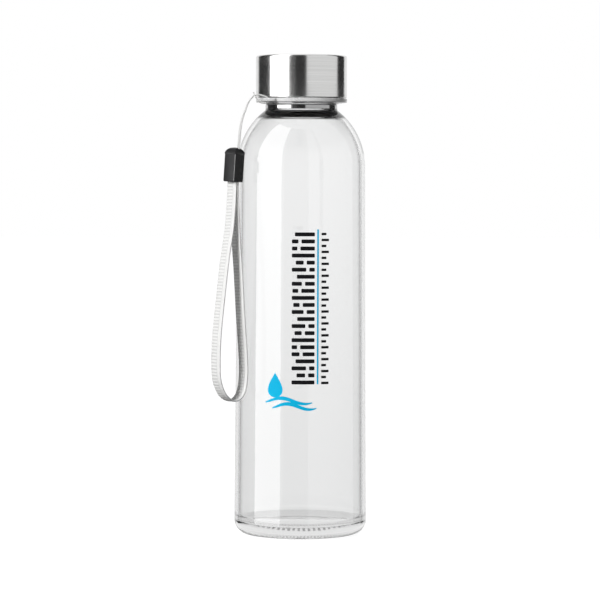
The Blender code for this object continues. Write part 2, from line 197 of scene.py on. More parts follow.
class BottleColours(bpy.types.PropertyGroup):
    glass: colour_setting(
        "Glass", (0.955, 0.957, 0.957), "Tint that light takes where it crosses the glass surface")
    steel: colour_setting("Steel", (0.74, 0.74, 0.735), "Brushed steel of the cap")
    print_dark: colour_setting("Dark ink", (0.004, 0.004, 0.005), "Ink of the block pattern")
    print_bright: colour_setting(
        "Bright ink", (0.0, 0.50, 0.82), "Ink of the drop, the wave and the thin line")
    webbing: colour_setting("Webbing", (0.86, 0.86, 0.85), "Yarn of the flat strap")
    clasp: colour_setting("Clasp", (0.007, 0.007, 0.0075), "Moulded bead over the strap's joint")


class BottleStage(bpy.types.PropertyGroup):
    distance: length_setting("Camera distance", 1.345, "From the camera to the bottle's axis")
    height: length_setting("Camera height", 0.171, "Height of the camera above the floor")
    aim: length_setting("Aim height", 0.1107, "Height on the axis that the camera looks at")
    lens: FloatProperty(
        name="Lens", default=170.5, unit="CAMERA", min=20, max=400,
        description="Focal length of the camera")
    roll: FloatProperty(
        name="Roll", default=math.radians(0.18), subtype="ANGLE",
        description="How far the camera is turned about its line of sight")
    slide: FloatProperty(
        name="Slide", default=-0.0013, min=-0.1, max=0.1, precision=4,
        description="Sideways shift of the picture, in picture widths")
    surround: FloatProperty(
        name="Surround", default=1.0, min=0, max=4,
        description="Brightness of the even white surround")
    softbox: FloatProperty(
        name="Softbox", default=4.2, min=0, max=20,
        description="Brightness of the tall softbox that the glass and steel mirror")
    shade: FloatProperty(
        name="Shade", default=0.13, min=0, max=1,
        description="Share of the surround that falls on matt surfaces, which sets how deep shadows are")
    back: FloatProperty(
        name="Back light", default=7.0, unit="POWER",
        description="Power of the soft light behind the bottle")
    key: FloatProperty(
        name="Key light", default=13.4, unit="POWER",
        description="Power of the soft light at the front left")


# ---- shapes ----

LONG_RUN = 0.0016
HOLD = 0.0003


def add_object(name, data):
    made = bpy.data.objects.new(name, data)
    bpy.context.scene.collection.objects.link(made)
    return made


def link(name, mesh, finish, body):
    piece = add_object(name, mesh)
    mesh.materials.clear()
    mesh.materials.append(finish)
    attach(piece, body)
    piece.visible_glossy = body != "strap"  # the clear glass would mirror the strap too strongly
    return piece


def shade(mesh, sharp_deg=35):
    mesh.shade_smooth()
    mesh.set_sharp_from_angle(angle=math.radians(sharp_deg))
    return mesh


def mesh_from(name, bm, sharp_deg=35):
    mesh = bpy.data.meshes.new(name)
    bm.to_mesh(mesh)
    bm.free()
    return shade(mesh, sharp_deg)


def arc(centre_r, centre_z, radius, start_deg, end_deg, steps):
    points = []
    for step in range(steps + 1):
        angle = math.radians(start_deg + (end_deg - start_deg) * step / steps)
        points.append((centre_r + radius * math.cos(angle), centre_z + radius * math.sin(angle)))
    return points


def held(profile):
    """The same profile with a point close to each end of its long runs, which keeps them true."""
    points = [profile[0]]
    for (r0, z0), (r1, z1) in zip(profile, profile[1:]):
        length = math.hypot(r1 - r0, z1 - z0)
        if length > LONG_RUN:
            part = HOLD / length
            points.append((r0 + (r1 - r0) * part, z0 + (z1 - z0) * part))
            points.append((r1 - (r1 - r0) * part, z1 - (z1 - z0) * part))
        points.append((r1, z1))
    return points


def turned(profile, closed, around):
    """A closed solid, turned round the Z axis from (radius, height) points."""
    bm = bmesh.new()
    profile = held(profile)
    verts = [bm.verts.new((radius, 0.0, height)) for radius, height in profile]
    pairs = list(zip(verts, verts[1:]))
    if closed:
        pairs.append((verts[-1], verts[0]))
    edges = [bm.edges.new(pair) for pair in pairs]
    bmesh.ops.spin(bm, geom=verts + edges, cent=(0, 0, 0), axis=(0, 0, 1),
                   angle=math.tau, steps=around, use_merge=True)
    bmesh.ops.remove_doubles(bm, verts=bm.verts, dist=1e-6)
    bmesh.ops.recalc_face_normals(bm, faces=bm.faces)
    return bm


def rows(radius, low, high):
    """Points straight up a wall, close enough together to carry a thread."""
    count = round((high - low) / THREAD_ROW)
    return [(radius, low + (high - low) * step / count) for step in range(count + 1)]


def raise_thread(bm, wall, tip, start):
    """Move a wall's points out to a right-hand helical ridge that fades at both ends."""
    for vert in bm.verts:
        if abs(vert.co.xy.length - wall) > 1e-5:
            continue
        part = (math.atan2(vert.co.y, vert.co.x) / math.tau) % 1.0
        for turn in range(math.ceil(THREAD_TURNS)):
            along = part + turn
            off = abs(vert.co.z - start - LEAD * along)
            if along > THREAD_TURNS or off > THREAD_ROOT_HALF:
                continue
            slope = (THREAD_ROOT_HALF - off) / (THREAD_ROOT_HALF - THREAD_TIP_HALF)
            ends = min(along, THREAD_TURNS - along) / THREAD_FADE
            rise = (tip - wall) * min(1.0, slope) * min(1.0, ends)
            vert.co.xy *= (wall + rise) / wall


def notched(place, around):
    """Whether a place lies at one of the short notches round the heel, one at every second step."""
    step = math.floor(math.atan2(place.y, place.x) / math.tau * around + 0.25)
    return step % 2 == 0 and place.xy.length > STANDING_RING + 0.001


def stipple(bm, around):
    """Press the short notches into the turn of the heel."""
    low, high = STIPPLE_HEIGHTS
    for vert in bm.verts:
        if low < vert.co.z < high and notched(vert.co, around):
            radius = vert.co.xy.length
            vert.co.xy *= (radius - STIPPLE_DEPTH) / radius


def bevel(bm, geom, offset, segments, affect="EDGES"):
    bmesh.ops.bevel(bm, geom=geom, offset=offset, affect=affect, segments=segments,
                    profile=0.5, material=-1)


def block(size, centre):
    bm = bmesh.new()
    bmesh.ops.create_cube(bm, size=1.0)
    bmesh.ops.scale(bm, vec=size, verts=bm.verts)
    bmesh.ops.translate(bm, vec=centre, verts=bm.verts)
    return bm


def carve(mesh, other, operation):
    """Join or cut one closed mesh with another and give the resulting mesh."""
    base, tool = add_object("base", mesh), add_object("tool", other)
    boolean = base.modifiers.new("Boolean", "BOOLEAN")
    boolean.operation = operation
    boolean.object = tool
    bpy.context.view_layer.update()
    made = bpy.data.meshes.new_from_object(base.evaluated_get(bpy.context.evaluated_depsgraph_get()))
    for obj in (base, tool):
        bpy.data.objects.remove(obj)
    return shade(made)


def smooth_path(points, steps):
    """Points of a smooth curve that passes through the given ones, with steps to each span."""
    padded = [2 * points[0] - points[1], *points, 2 * points[-1] - points[-2]]
    path = []
    for before, start, end, after in zip(padded, padded[1:], padded[2:], padded[3:]):
        for step in range(steps):
            t = step / steps
            path.append(0.5 * (
                2 * start + (end - before) * t
                + (2 * before - 5 * start + 4 * end - after) * t ** 2
                + (3 * start - before - 3 * end + after) * t ** 3
            ))
    path.append(points[-1])
    return path


def path_length(path):
    return sum((b - a).length for a, b in zip(path, path[1:]))


def evenly(path, count):
    """The same path with count points at equal distances along it."""
    step = path_length(path) / (count - 1)
    places, walked, index = [path[0]], 0.0, 0
    for number in range(1, count - 1):
        target = number * step
        while walked + (path[index + 1] - path[index]).length < target:
            walked += (path[index + 1] - path[index]).length
            index += 1
        span = path[index + 1] - path[index]
        places.append(path[index] + span * ((target - walked) / span.length))
    places.append(path[-1])
    return places


def clasp_frame():
    tilt = Matrix.Rotation(CLASP_TILT, 4, "Y")
    turn = Matrix.Rotation(STRAP_TURN, 4, "Z")
    return Matrix.Translation(CLASP_FOOT) @ tilt @ turn


def in_clasp(wide, deep, height):
    return clasp_frame() @ Vector((wide, deep, height))


def cord_route():
    """Up from the clasp, round the eyelet bar in a hitch, and back down."""
    halves = []
    for side in (1, -1):
        half = [
            in_clasp(CORD_HOLE.x - side * CORD_SPACING, CORD_HOLE.y, CRIMP_TOP + GAP),
            in_clasp(CORD_HOLE.x - side * CORD_SPACING, CORD_HOLE.y, CLASP_SIZE.z),
        ]
        for middle, lie in CORD_PAIR:
            half.append(Vector(middle) + side * CORD_SPACING * Vector((*lie, 0.0)))
        for out, aside, up in CORD_HITCH:
            half.append(EYELET_BAR + Vector((-out, side * aside, up)))
        halves.append(half)
    far, near = halves
    return far + near[-2::-1]


def webbing_route():
    end_height = CRIMP_TOP - CRIMP_CROWN - GAP
    route = [in_clasp(0, -WEBBING_LAYER, end_height), in_clasp(0, -WEBBING_LAYER, 0.001)]
    for front, aside, height in WEBBING_LOOP:
        place = CLASP_FOOT + front * STRAP_FRONT + aside * STRAP_WIDE
        route.append(Vector((place.x, place.y, height)))
    route += [in_clasp(0, WEBBING_LAYER, 0.001), in_clasp(0, WEBBING_LAYER, end_height)]
    return route


# ---- finishes ----

def add_node(tree, kind, inputs=None, **settings):
    """A new node with its settings; each input takes a value or a link from another node."""
    made = tree.nodes.new(kind)
    for key, value in settings.items():
        setattr(made, key, value)
    for key, value in (inputs or {}).items():
        if isinstance(value, bpy.types.NodeSocket):
            tree.links.new(value, made.inputs[key])
        else:
            made.inputs[key].default_value = value
    return made


def set_stops(ramp, stops, colour=(1.0, 1.0, 1.0)):
    """Give a colour ramp its (place, level) stops, as shares of one colour."""
    elements = ramp.color_ramp.elements
    while len(elements) < len(stops):
        elements.new(1.0)
    for element, (place, level) in zip(elements, stops):
        element.position = place
        element.color = (*(level * channel for channel in colour), 1.0)


# Places of a Mix node's colour sockets.
MIX_FIRST, MIX_SECOND, MIX_RESULT = 6, 7, 2


class Finish:
    """A material under construction: its nodes, and the links between them."""

    def __init__(self, name):
        self.material = bpy.data.materials.new(name)
        self.material.use_nodes = True
        self.tree = self.material.node_tree
        self.shader = self.tree.nodes["Principled BSDF"]
        self.output = self.tree.nodes["Material Output"]

    def set(self, **values):
        for key, value in values.items():
            socket = self.shader.inputs[key.replace("_", " ")]
            is_colour = hasattr(value, "__len__") and len(value) == 3
            socket.default_value = (*value, 1.0) if is_colour else value

    def node(self, kind, inputs=None, **settings):
        return add_node(self.tree, kind, inputs, **settings)

    def math(self, operation, first, second=0.0):
        return self.node("ShaderNodeMath", {0: first, 1: second}, operation=operation).outputs[0]

    def stretched(self, scale=(1.0, 1.0, 1.0)):
        place = self.node("ShaderNodeTexCoord").outputs["Object"]
        return self.node("ShaderNodeMapping", {"Vector": place, "Scale": scale}).outputs[0]

    def noise(self, vector, scale, detail=3.0, rough=0.5):
        return self.node("ShaderNodeTexNoise", {
            "Vector": vector, "Scale": scale, "Detail": detail, "Roughness": rough}).outputs["Fac"]

    def between(self, value, low, high, low_in=0.0, high_in=1.0):
        return self.node("ShaderNodeMapRange", {
            "Value": value, "From Min": low_in, "From Max": high_in,
            "To Min": low, "To Max": high}).outputs[0]

    def blend(self, factor, first, second):
        inputs = {"Factor": factor}
        for key, value in ((MIX_FIRST, first), (MIX_SECOND, second)):
            inputs[key] = value if isinstance(value, bpy.types.NodeSocket) else (*value, 1.0)
        return self.node("ShaderNodeMix", inputs, data_type="RGBA").outputs[MIX_RESULT]

    def ramp(self, value, stops, colour):
        """A colour that is dimmed by (place, level) stops."""
        made = self.node("ShaderNodeValToRGB", {"Fac": value})
        set_stops(made, stops, colour)
        return made.outputs["Color"]

    def radius(self):
        """Distance from the bottle's axis."""
        place = self.node("ShaderNodeTexCoord").outputs["Object"]
        flat = self.node("ShaderNodeVectorMath", {0: place, 1: (1.0, 1.0, 0.0)}, operation="MULTIPLY")
        return self.node("ShaderNodeVectorMath", {0: flat.outputs[0]}, operation="LENGTH").outputs["Value"]

    def wire(self, name, socket):
        self.tree.links.new(socket, self.shader.inputs[name])

    def bump(self, height, distance, strength=1.0):
        made = self.node("ShaderNodeBump", {
            "Height": height, "Distance": distance, "Strength": strength})
        self.wire("Normal", made.outputs[0])


# Painted shade on the glass: its tint dimmed by how far it turns from the eye, darkening the edges in
# place of the dark surroundings seen through them; facing amount, grey level.
INNER_EDGE_SHADE = [(0.0, 1.0), (0.70, 0.95), (0.82, 0.40), (0.90, 0.03)]
OUTER_EDGE_SHADE = [(0.0, 1.0), (0.50, 0.97), (0.64, 0.80), (1.0, 0.76)]
# Painted shade: a black band round the foot of the neck.
NECK_BAND_SHADE = [(0.0, 1.0), (0.23, 0.96), (0.29, 0.006), (0.90, 0.002)]
NECK_SHADE_FROM = 0.1972
INNER_UP_TO = 0.0296


def painted_shade_glass_finish(name):
    """The thick glass bead of the neck, painted black as shade where the clear glass looks dark, and
    bright where its coat mirrors the lights.
    """
    made = Finish(name)
    made.set(Base_Color=(0.012, 0.012, 0.012), Roughness=0.25, Coat_Weight=1.0, Coat_IOR=4.0,
             Coat_Roughness=0.06)
    waver = made.noise(made.stretched((1.0, 1.0, 6.0)), 150.0)
    made.bump(waver, 0.00010, 0.3)
    return made.material


def foot_glass_finish(colour):
    """The thick foot of the bottle, which bends light less sharply than the thin wall; its heel is painted
    darker as shade.
    """
    made = Finish("foot_glass")
    made.set(Roughness=0.0, IOR=1.22, Transmission_Weight=1.0)
    # Painted shade: the heel's colour is darker than the middle of the foot.
    heel = made.between(made.radius(), 0.0, 1.0, STANDING_RING, STANDING_RING + 0.002)
    made.wire("Base Color", made.blend(heel, tuple(colour), tuple(0.80 * channel for channel in colour)))
    swirl = made.noise(made.stretched((1.0, 1.0, 3.0)), 160.0, detail=2.0)
    made.bump(swirl, 0.00020, 0.25)
    return made.material


def glass_finish(colour):
    made = Finish("clear_glass")
    made.set(Roughness=0.0, IOR=1.50, Transmission_Weight=1.0)
    # Painted shade: the facing ramps dim the glass's colour towards its edges, with a dark line on the
    # inner wall.
    facing = made.node("ShaderNodeLayerWeight", {"Blend": 0.5}).outputs["Facing"]
    inner = made.ramp(facing, INNER_EDGE_SHADE, colour)
    outer = made.ramp(facing, OUTER_EDGE_SHADE, colour)
    neck = made.ramp(facing, NECK_BAND_SHADE, colour)
    place = made.node("ShaderNodeTexCoord").outputs["Object"]
    height = made.node("ShaderNodeSeparateXYZ", {0: place}).outputs["Z"]
    outside = made.between(made.radius(), 0.0, 1.0, INNER_UP_TO, INNER_UP_TO + 0.0002)
    body = made.blend(outside, inner, outer)
    # Painted shade: from the foot of the neck up to the bead's top the glass turns black where it faces
    # away, a dark band in place of the darkness seen through it.
    at_neck = made.between(height, 0.0, 1.0, NECK_SHADE_FROM - 0.0005, NECK_SHADE_FROM)
    below_bead_top = made.between(height, 1.0, 0.0, BEAD_TOP, BEAD_TOP + 0.0003)
    at_neck = made.math("MULTIPLY", at_neck, below_bead_top)
    made.wire("Base Color", made.blend(at_neck, body, neck))
    ripple = made.noise(made.stretched((1.0, 1.0, 0.25)), 55.0, detail=1.0)
    made.bump(ripple, 0.00010, 0.04)
    absorb = made.node("ShaderNodeVolumeAbsorption", {"Color": (0.5, 0.5, 0.5, 1.0), "Density": 9.0})
    made.tree.links.new(absorb.outputs[0], made.output.inputs["Volume"])
    return made.material


def steel_finish(colour):
    made = Finish("brushed_steel")
    made.set(Metallic=1.0, Anisotropic=0.6)
    lines = made.noise(made.stretched((6.0, 6.0, 3200.0)), 1.0, detail=5.0, rough=0.65)
    patches = made.noise(made.stretched((20.0, 20.0, 60.0)), 1.0)
    darker = tuple(0.82 * channel for channel in colour)
    made.wire("Base Color", made.blend(made.between(lines, 0.0, 1.0, 0.35, 0.65), darker, tuple(colour)))
    made.wire("Roughness", made.between(patches, 0.13, 0.19, 0.3, 0.7))
    tangent = made.node("ShaderNodeTangent", direction_type="RADIAL", axis="Z")
    made.wire("Tangent", tangent.outputs[0])
    made.bump(lines, 0.00002, 0.35)
    return made.material


def moulded_finish(name, colour, roughness, grain=900.0, depth=0.00002, **more):
    """Moulded plastic or rubber with a fine grain and slightly uneven gloss."""
    made = Finish(name)
    made.set(**more)
    grains = made.noise(made.stretched(), grain, detail=2.0)
    cloud = made.noise(made.stretched(), 120.0)
    paler = tuple(min(1.0, 1.12 * channel) for channel in colour)
    made.wire("Base Color", made.blend(made.between(cloud, 0.0, 1.0, 0.3, 0.7), tuple(colour), paler))
    made.wire("Roughness", made.between(cloud, roughness * 0.85, roughness * 1.15, 0.3, 0.7))
    made.bump(grains, depth, 0.5)
    return made.material


def webbing_finish(colour, length, pitch):
    """Flat weave: ribs across, warp ends along, and a slightly uneven dye; the grooves between ribs,
    between warp ends and at the border are painted darker as shade.
    """
    made = Finish("white_webbing")
    made.set(Sheen_Weight=0.25, Sheen_Roughness=0.5)
    place = made.node("ShaderNodeUVMap").outputs[0]
    parts = made.node("ShaderNodeSeparateXYZ", {0: place}).outputs
    warp = made.math("ABSOLUTE", made.math("SINE", made.math("MULTIPLY", parts[0], math.pi * 11)))
    wave = made.math("SINE", made.math("MULTIPLY", parts[1], math.pi * length / pitch))
    ribs = made.math("SUBTRACT", 1.0, made.math("POWER", made.math("ABSOLUTE", wave), 3.0))
    ribbed = made.between(parts[0], 1.0, 0.0, RIBBED_SHARE - 0.04, RIBBED_SHARE)
    ribs = made.math("SUBTRACT", 1.0, made.math("MULTIPLY", made.math("SUBTRACT", 1.0, ribs), ribbed))
    off = made.math("ABSOLUTE", made.math("SUBTRACT", parts[0], RIBBED_SHARE))
    border = made.between(off, 0.55, 1.0, 0.0, 0.04)
    weave = made.math("MULTIPLY", made.between(warp, 0.90, 1.0), made.between(ribs, 0.55, 1.0))
    weave = made.math("MULTIPLY", weave, border)
    fibre = made.noise(made.stretched(), 2500.0, detail=2.0)
    shade = made.math("MULTIPLY", weave, made.between(fibre, 0.92, 1.05))
    # Painted shade: the weave's grooves take a darker colour than the ribs.
    groove = tuple(0.74 * channel for channel in colour)
    made.wire("Base Color", made.blend(made.between(shade, 0.0, 1.0, 0.4, 0.95), groove, tuple(colour)))
    made.wire("Roughness", made.between(shade, 0.88, 0.68))
    made.bump(shade, 0.00010, 0.6)
    return made.material


def plain_finish(name, colour, roughness, strength=0.0):
    made = Finish(name)
    made.set(Base_Color=colour, Roughness=roughness)
    if strength:
        made.set(Emission_Color=colour, Emission_Strength=strength)
    return made.material


def glow_finish(name, strength):
    """A card that shines or, at strength 0, is simply black."""
    made = Finish(name)
    made.tree.nodes.remove(made.shader)
    glow = made.node("ShaderNodeEmission", {"Strength": strength})
    made.tree.links.new(glow.outputs[0], made.output.inputs["Surface"])
    return made.material


# ---- stage ----

# Upright cards round the bottle: name, from and to angle seen from the front, brightness.
CARDS = [
    ("flag_left", -131.0, -79.0, 0.03),
    ("softbox_left", -79.0, -32.0, None),
    ("softbox_edge", -32.0, -28.0, 0.8),
    ("flag_front_left", -28.0, -14.0, 0.12),
    ("flag_front", -14.0, 12.0, 0.03),
    ("fill_right", 12.0, 97.0, 0.90),
    ("flag_right", 97.0, 131.0, 0.03),
]
CARD_RADIUS = 0.16
CARD_FOOT = -0.03
CARD_HEAD = 0.46
CARD_STEP_DEG = 5.0
FLOOR_REACH = 6.0


def hide_from(obj, *rays):
    """Keep an object out of the light that some kinds of ray bring."""
    for ray in rays:
        setattr(obj, "visible_" + ray, False)


def make_card(name, start, end, strength):
    steps = max(1, round((end - start) / CARD_STEP_DEG))
    bm = bmesh.new()
    first = math.radians(start)
    foot = bm.verts.new((CARD_RADIUS * math.sin(first), -CARD_RADIUS * math.cos(first), CARD_FOOT))
    head = bm.verts.new(foot.co + Vector((0, 0, CARD_HEAD - CARD_FOOT)))
    edge = bm.edges.new((foot, head))
    bmesh.ops.spin(bm, geom=[foot, head, edge], cent=(0, 0, 0), axis=(0, 0, 1),
                   angle=math.radians(end - start), steps=steps)
    mesh = mesh_from(name, bm)
    mesh.materials.append(glow_finish(name, strength))
    card = add_object(name, mesh)
    hide_from(card, "camera", "diffuse", "transmission", "shadow", "volume_scatter")


# Brightness of the surround as seen through glass, by how far up a line of sight points, 0.5 being level.
THROUGH_GLASS = [
    (0.0, 0.88), (0.30, 0.90), (0.45, 0.90), (0.50, 1.0), (0.53, 1.02), (0.66, 1.0), (0.78, 0.03),
]


def light_world(tree, stage):
    """An even surround, dimmer for matt surfaces, and dark overhead for the light inside glass."""
    kind = add_node(tree, "ShaderNodeLightPath").outputs
    matt = add_node(tree, "ShaderNodeMapRange", {
        "Value": kind["Is Diffuse Ray"], "To Min": 1.0, "To Max": stage.shade}).outputs[0]
    way = add_node(tree, "ShaderNodeTexCoord").outputs["Generated"]
    upward = add_node(tree, "ShaderNodeSeparateXYZ", {0: way}).outputs["Z"]
    level = add_node(tree, "ShaderNodeMapRange", {"Value": upward, "From Min": -1.0}).outputs[0]
    graded = add_node(tree, "ShaderNodeValToRGB", {"Fac": level})
    set_stops(graded, THROUGH_GLASS)
    through = add_node(tree, "ShaderNodeMix", {
        "Factor": kind["Is Transmission Ray"], "A": 1.0, "B": graded.outputs["Color"]})
    product = add_node(tree, "ShaderNodeMath", {
        0: matt, 1: through.outputs["Result"]}, operation="MULTIPLY").outputs[0]
    total = add_node(tree, "ShaderNodeMath", {
        0: product, 1: stage.surround}, operation="MULTIPLY").outputs[0]
    tree.links.new(total, tree.nodes["Background"].inputs["Strength"])


def make_light(name, place, power):
    """A tall soft light aimed at the bottle's middle, unseen in the glass."""
    light = add_object(name, bpy.data.lights.new(name, "AREA"))
    light.data.shape = "RECTANGLE"
    light.data.size = 0.22
    light.data.size_y = 0.5
    light.data.energy = power
    light.location = place
    light.rotation_euler = (Vector((0, 0, 0.12)) - light.location).to_track_quat("-Z", "Y").to_euler()
    hide_from(light, "glossy", "transmission")


def make_camera(stage):
    camera = add_object("camera", bpy.data.cameras.new("camera"))
    camera.data.lens = stage.lens
    camera.location = (0.0, -stage.distance, stage.height)
    aim = Vector((0.0, 0.0, stage.aim)) - camera.location
    look = aim.to_track_quat("-Z", "Y") @ Quaternion((0, 0, 1), stage.roll)
    camera.rotation_euler = look.to_euler()
    camera.data.shift_x = stage.slide
    bpy.context.scene.camera = camera


def make_surround(stage):
    world = bpy.data.worlds.new("surround")
    world.use_nodes = True
    world.node_tree.nodes["Background"].inputs["Color"].default_value = (1, 1, 1, 1)
    light_world(world.node_tree, stage)
    bpy.context.scene.world = world


def make_floor():
    """A pale floor that shines evenly and stays out of the light inside the glass."""
    bm = bmesh.new()
    bmesh.ops.create_grid(bm, x_segments=1, y_segments=1, size=FLOOR_REACH)
    mesh = mesh_from("floor", bm)
    mesh.materials.append(plain_finish("floor", (0.20, 0.20, 0.20), 0.9, strength=4.6))
    floor = add_object("floor", mesh)
    hide_from(floor, "diffuse", "transmission", "glossy")


class BOTTLE_OT_stage(bpy.types.Operator):
    """Make the camera, the white surround, the floor and the cards"""
    bl_idname = "bottle.stage"
    bl_label = "Stage"

    def execute(self, context):
        stage = context.scene.bottle_stage
        context.scene.view_settings.view_transform = "Standard"
        make_camera(stage)
        make_surround(stage)
        make_floor()
        for name, start, end, strength in CARDS:
            make_card(name, start, end, stage.softbox if strength is None else strength)
        make_light("key", (-0.66, -0.92, 0.62), stage.key)
        make_light("back", (0.50, 1.00, 0.60), stage.back)
        return {"FINISHED"}


# ---- pieces ----

class BOTTLE_OT_cord(bpy.types.Operator):
    """Make the thin cord that runs from the clasp round the eyelet and back"""
    bl_idname = "bottle.cord"
    bl_label = "Strap cord"

    def execute(self, context):
        path = smooth_path(cord_route(), 6)
        curve = bpy.data.curves.new("wrist_cord", "CURVE")
        curve.dimensions = "3D"
        curve.bevel_depth = CORD_DIAMETER / 2
        curve.bevel_resolution = 4
        curve.use_fill_caps = True
        spline = curve.splines.new("POLY")
        spline.points.add(len(path) - 1)
        for point, place in zip(spline.points, path):
            point.co = (*place, 1.0)
        finish = moulded_finish("cord_nylon", (0.80, 0.80, 0.79), 0.35, grain=1800.0,
                                Transmission_Weight=0.35, IOR=1.45)
        cord = link("wrist_cord", curve, finish, "strap")
        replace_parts(cord, "strap_cord")
        return {"FINISHED"}


SECTION_SIDES = 28
STATIONS_PER_RIB = 6
RIBBED_SHARE = 0.66


def webbing_section(part):
    """Place on the edge of the webbing's section, part of the way round it from 0 to 1."""
    angle = math.tau * part
    wide = math.copysign(abs(math.cos(angle)) ** 0.8, math.cos(angle))
    deep = math.copysign(abs(math.sin(angle)) ** 0.35, math.sin(angle))
    return wide * WEBBING_WIDTH / 2, deep


def groove_depth(across, sizes):
    """Ribs reach over part of the width, and a groove parts them from the plain border."""
    if across < RIBBED_SHARE:
        return sizes.rib_height * min(1.0, (RIBBED_SHARE - across) / 0.05)
    return 0.0


class BOTTLE_OT_webbing(bpy.types.Operator):
    """Make the flat woven strap with its ribs, as one length folded into a loop"""
    bl_idname = "bottle.webbing"
    bl_label = "Webbing"

    def execute(self, context):
        sizes = context.scene.bottle_sizes
        smooth = smooth_path(webbing_route(), 12)
        length = path_length(smooth)
        count = round(length / sizes.rib_pitch) * STATIONS_PER_RIB + 1
        path = evenly(smooth, count)
        bm = bmesh.new()
        uv = bm.loops.layers.uv.new("UVMap")
        bmesh.ops.create_grid(bm, x_segments=SECTION_SIDES, y_segments=count - 1, size=0.5,
                              calc_uvs=True)
        for face in bm.faces:
            for loop in face.loops:
                across = webbing_section(loop[uv].uv.x)[0] / WEBBING_WIDTH + 0.5
                loop[uv].uv.x = across
        for vert in bm.verts:
            station = round((vert.co.y + 0.5) * (count - 1))
            wide, deep = webbing_section(vert.co.x + 0.5)
            tangent = path[min(count - 1, station + 1)] - path[max(0, station - 1)]
            face_way = tangent.cross(STRAP_WIDE).normalized()
            wide_way = face_way.cross(tangent).normalized()
            wave = 0.5 - 0.5 * math.cos(math.tau * station / STATIONS_PER_RIB)
            across = wide / WEBBING_WIDTH + 0.5
            half = WEBBING_THICKNESS / 2 - wave * groove_depth(across, sizes)
            if abs(across - RIBBED_SHARE) < 0.03:
                half -= sizes.rib_height
            vert.co = path[station] + wide_way * wide + face_way * (deep * half)
        bmesh.ops.remove_doubles(bm, verts=bm.verts, dist=1e-6)
        bmesh.ops.holes_fill(bm, edges=bm.edges, sides=0)
        bmesh.ops.recalc_face_normals(bm, faces=bm.faces)
        finish = webbing_finish(context.scene.bottle_colours.webbing, length, sizes.rib_pitch)
        strap = link("woven_strap", mesh_from("woven_strap", bm, 60), finish, "strap")
        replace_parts(strap, "strap_webbing")
        return {"FINISHED"}


def glass_radius(height):
    """Outer radius of the body, which widens a little towards the heel."""
    part = (height - HEEL_RADIUS) / (SHOULDER_START - HEEL_RADIUS)
    return HEEL_WALL + (SHOULDER_WALL - HEEL_WALL) * part


def outer_profile():
    """The glass's outside, from the middle of its foot up to the rim of its mouth."""
    centre = SHOULDER_WALL - SHOULDER_RADIUS
    neck_deg = math.degrees(math.acos((NECK + NECK_FLARE - centre) / SHOULDER_RADIUS))
    points = [(0.0, PUSH_UP)]
    points += arc(0.0, PUSH_UP - PUSH_UP_ARC, PUSH_UP_ARC, 86, 80, 4)
    points += [(STANDING_RING - 0.0006, 0.0003), (STANDING_RING, 0.0)]
    points += arc(HEEL_WALL - HEEL_RADIUS, HEEL_RADIUS, HEEL_RADIUS, -90, 0, 14)
    points += arc(centre, SHOULDER_START, SHOULDER_RADIUS, 0, neck_deg, 28)
    points += arc(NECK + NECK_FILLET, BEAD_TOP - BEAD_FOOT, NECK_FILLET, 215, 180, 4)
    points += arc(NECK - BEAD_EDGE, BEAD_TOP - BEAD_EDGE, BEAD_EDGE, 0, 80, 4)
    points += [(FINISH + 0.0001, BEAD_TOP + 0.0001)]
    points += rows(FINISH, BEAD_TOP + 0.0005, LIP_TOP - 0.0012)
    points += arc(FINISH - LIP_OUTER_EDGE, LIP_TOP - LIP_OUTER_EDGE, LIP_OUTER_EDGE, 0, 90, 6)
    points += arc(MOUTH + LIP_INNER_EDGE, LIP_TOP - LIP_INNER_EDGE, LIP_INNER_EDGE, 90, 180, 5)
    return points


def inner_profile(thickness):
    """The glass's inside, from the mouth down the sloping roof and the wall to the floor."""
    head_r, head_z = ROOF_HEAD
    roof_r, roof_z = ROOF_FOOT
    wall = SHOULDER_WALL - thickness
    rise = roof_z - SHOULDER_START
    centre = (roof_r ** 2 + rise ** 2 - wall ** 2) / (2 * (roof_r - wall))
    radius = wall - centre
    roof_deg = math.degrees(math.asin(rise / radius))
    heel = HEEL_WALL - thickness - INNER_HEEL
    points = [(MOUTH, head_z + 0.0010), (MOUTH + 0.0003, head_z + 0.0003), (head_r, head_z)]
    points += [(roof_r - 0.0004, roof_z + 0.0003)]
    points += arc(centre, SHOULDER_START, radius, roof_deg, 0, 24)
    points += arc(heel, FLOOR_TOP + INNER_HEEL, INNER_HEEL, 0, -90, 12)
    points += [(heel * 0.66, FLOOR_TOP + FLOOR_DOME * 0.5), (0.0, FLOOR_TOP + FLOOR_DOME)]
    return points


def finish_foot_and_neck(mesh, colour, around):
    """Give the foot, its notches and the neck bead their own finishes: painted shade on the heel and the
    bead, and a flat glowing grey on the notches that paints their shade.
    """
    mesh.materials.append(foot_glass_finish(colour))
    mesh.materials.append(painted_shade_glass_finish("neck_bead_painted_shade"))
    # Painted shade: the notches glow an even grey whatever the lamps do.
    mesh.materials.append(plain_finish("foot_notches_painted_shade", (0.34, 0.34, 0.34), 0.5, strength=1.0))
    foot, bead, notches = 1, 2, 3
    low, high = STIPPLE_HEIGHTS
    for face in mesh.polygons:
        if low < face.center.z < high and notched(face.center, around):
            face.material_index = notches
        elif face.center.z < HEEL_RADIUS + HOLD:
            face.material_index = foot
        elif BEAD_TOP - 0.0020 < face.center.z < BEAD_TOP and face.center.xy.length > FINISH:
            face.material_index = bead


